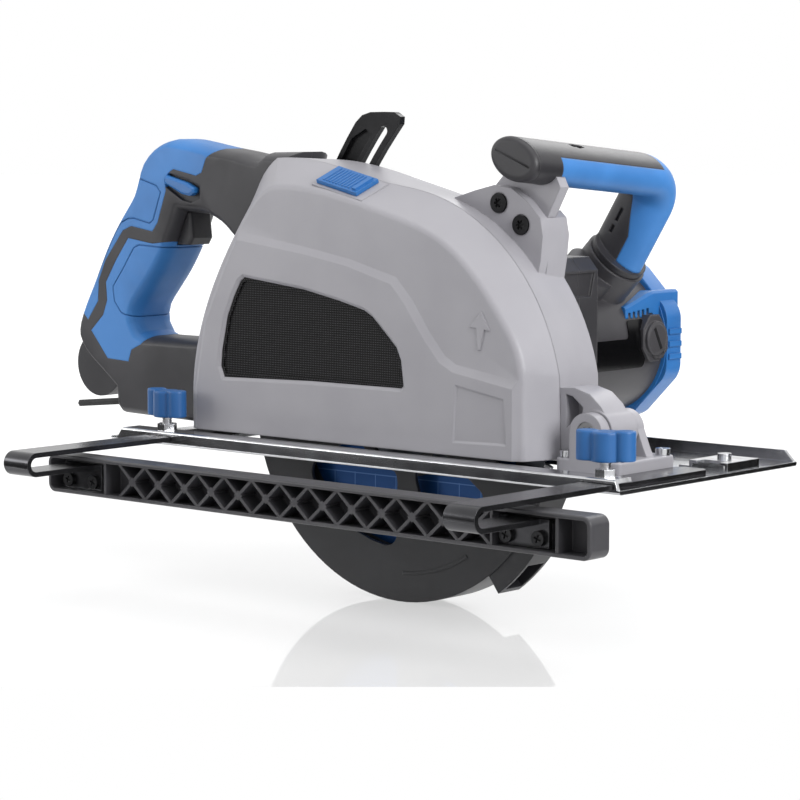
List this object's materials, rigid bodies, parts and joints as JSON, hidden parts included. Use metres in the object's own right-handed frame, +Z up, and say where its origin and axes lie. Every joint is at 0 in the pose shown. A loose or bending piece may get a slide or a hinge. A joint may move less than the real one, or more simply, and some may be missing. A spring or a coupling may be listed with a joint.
{
  "type": "circular saw",
  "caption": "Hand-held circular saw with a slotted sole, hinged depth setting, edge guide, chip box with a window, swinging lower guard, D handle and front bar handle.",
  "frame": {"origin": "sole plane directly below the blade arbor, in the blade plane", "axes": "+X along the cut towards the front, +Y towards the motor, +Z up from the sole"},
  "size_m": [0.5565, 0.3658, 0.299],
  "materials": {
    "sole_steel": "polished plate",
    "grey_casting": "satin grey paint",
    "grey_shell": "satin grey",
    "black_steel": "black oxide",
    "bright_steel": "turned",
    "blue_plastic": "satin",
    "blue_rubber": "soft matte",
    "black_plastic": "fine grain",
    "dark_plastic": "fine grain",
    "mesh": "fine mesh",
    "label": "gloss",
    "gland_rubber": "matte",
    "guard_grey": "dark satin coat",
    "blade_steel": "dark coated",
    "gear_alloy": "dark satin coat",
    "core_iron": "laminated",
    "carbon": "matte"
  },
  "bodies": {
    "base": {"base_plate": "sole_steel", "front_bracket": "grey_casting", "pivot_pin": "bright_steel", "depth_quadrant": "black_steel", "base_screws": "black_steel", "arm_bridge_front": "sole_steel", "arm_bridge_rear": "sole_steel", "bridge_screws": "black_steel"},
    "fence": {"fence_arm_front": "sole_steel", "fence_arm_rear": "sole_steel", "fence_bar": "black_plastic", "fence_screws": "black_steel"},
    "knob_front": {"wing_knob_front": "blue_plastic", "knob_stud_front": "bright_steel"},
    "knob_rear": {"wing_knob_rear": "blue_plastic", "knob_stud_rear": "bright_steel"},
    "head": {"upper_guard": "grey_casting", "bearings": "bright_steel", "gear_case": "gear_alloy", "motor_housing": "dark_plastic", "stator": "core_iron", "motor_end_cap": "blue_plastic", "vent_cover": "blue_plastic", "motor_label": "label", "brush_caps": "dark_plastic", "brushes": "carbon", "handle_post": "grey_casting", "handle_core": "dark_plastic", "handle_grip": "blue_rubber", "handle_end_cap": "dark_plastic", "handle_screws": "black_steel", "rear_shell_left": "black_plastic", "rear_shell_right": "black_plastic", "rear_grip_upper": "blue_rubber", "rear_grip_lower": "blue_rubber", "rear_screws": "black_steel", "switch_body": "black_plastic", "cable_gland": "gland_rubber", "depth_bolt": "black_steel"},
    "lever": {"depth_lever": "black_plastic"},
    "cover": {"debris_cover": "grey_shell", "window_panel": "mesh"},
    "latch": {"cover_latch": "blue_plastic"},
    "trigger_body": {"trigger": "black_plastic"},
    "lock_off_body": {"lock_off": "blue_plastic"},
    "key": {"hex_key": "black_steel"},
    "lock_button": {"spindle_lock": "black_plastic"},
    "guard": {"lower_guard": "guard_grey", "guard_spring": "bright_steel"},
    "arbor": {"spindle": "bright_steel", "inner_flange": "bright_steel", "outer_flange": "bright_steel", "arbor_bolt": "bright_steel", "blade": "blade_steel", "output_gear": "bright_steel"},
    "layshaft": {"lay_shaft": "bright_steel", "lay_gear": "bright_steel"},
    "armature": {"armature_shaft": "bright_steel", "armature_core": "core_iron", "fan": "black_plastic"}
  },
  "joints": [
    {"name": "depth_hinge", "type": "hinge", "parent": "base", "child": "head", "pos_m": [0.158, 0, 0.027], "axis": [0, 1, 0], "range_deg": [0, 31]},
    {"name": "fence_slide", "type": "slide", "parent": "base", "child": "fence", "axis": [0, 1, 0], "range_m": [-0.06, 0.05]},
    {"name": "front_knob_turn", "type": "hinge", "parent": "base", "child": "knob_front", "pos_m": [0.1948, -0.0595, 0.012], "axis": [0, 0, 1], "range_deg": [-60, 60]},
    {"name": "rear_knob_turn", "type": "hinge", "parent": "base", "child": "knob_rear", "pos_m": [-0.1523, -0.0595, 0.012], "axis": [0, 0, 1], "range_deg": [-60, 0]},
    {"name": "depth_lever_turn", "type": "hinge", "parent": "head", "child": "lever", "pos_m": [-0.10406, 0.036, 0.05454], "axis": [0, 1, 0], "range_deg": [0, 50]},
    {"name": "cover_tilt", "type": "hinge", "parent": "head", "child": "cover", "pos_m": [0, -0.0203, 0.0095], "axis": [1, 0, 0], "range_deg": [0, 8]},
    {"name": "latch_slide", "type": "slide", "parent": "cover", "child": "latch", "axis": [0.9762, -0.02, -0.216], "range_m": [0, 0.004], "stiffness_N_per_m": 250, "springref_m": -0.002},
    {"name": "trigger_pull", "type": "slide", "parent": "head", "child": "trigger_body", "axis": [-1, 0, 0], "range_m": [0, 0.006], "stiffness_N_per_m": 600, "springref_m": -0.003},
    {"name": "lock_off_press", "type": "hinge", "parent": "head", "child": "lock_off_body", "pos_m": [-0.197, -0.01, 0.1654], "axis": [0, 1, 0], "range_deg": [0, 6], "stiffness_Nm_per_rad": 0.4, "springref_deg": -5.73},
    {"name": "key_pull", "type": "slide", "parent": "head", "child": "key", "axis": [-0.9948, 0, -0.1015], "range_m": [0, 0.06]},
    {"name": "spindle_lock_press", "type": "slide", "parent": "head", "child": "lock_button", "axis": [0, 0, -1], "range_m": [0, 0.0035], "stiffness_N_per_m": 500, "springref_m": -0.002},
    {"name": "guard_swing", "type": "hinge", "parent": "head", "child": "guard", "pos_m": [0, 0, 0.031], "axis": [0, 1, 0], "range_deg": [0, 110], "stiffness_Nm_per_rad": 0.25, "springref_deg": -68.75},
    {"name": "blade_spin", "type": "hinge", "parent": "head", "child": "arbor", "pos_m": [0, 0, 0.031], "axis": [0, 1, 0], "continuous": true},
    {"name": "layshaft_spin", "type": "hinge", "parent": "head", "child": "layshaft", "pos_m": [0.02992, 0, 0.03314], "axis": [0, 1, 0], "continuous": true},
    {"name": "armature_spin", "type": "hinge", "parent": "head", "child": "armature", "pos_m": [0.027, 0.1, 0.063], "axis": [0, 1, 0], "continuous": true}
  ],
  "couplings": [
    {"joint": "layshaft_spin", "follows": "blade_spin", "ratio": -2.4286},
    {"joint": "armature_spin", "follows": "blade_spin", "ratio": 7.2857}
  ]
}
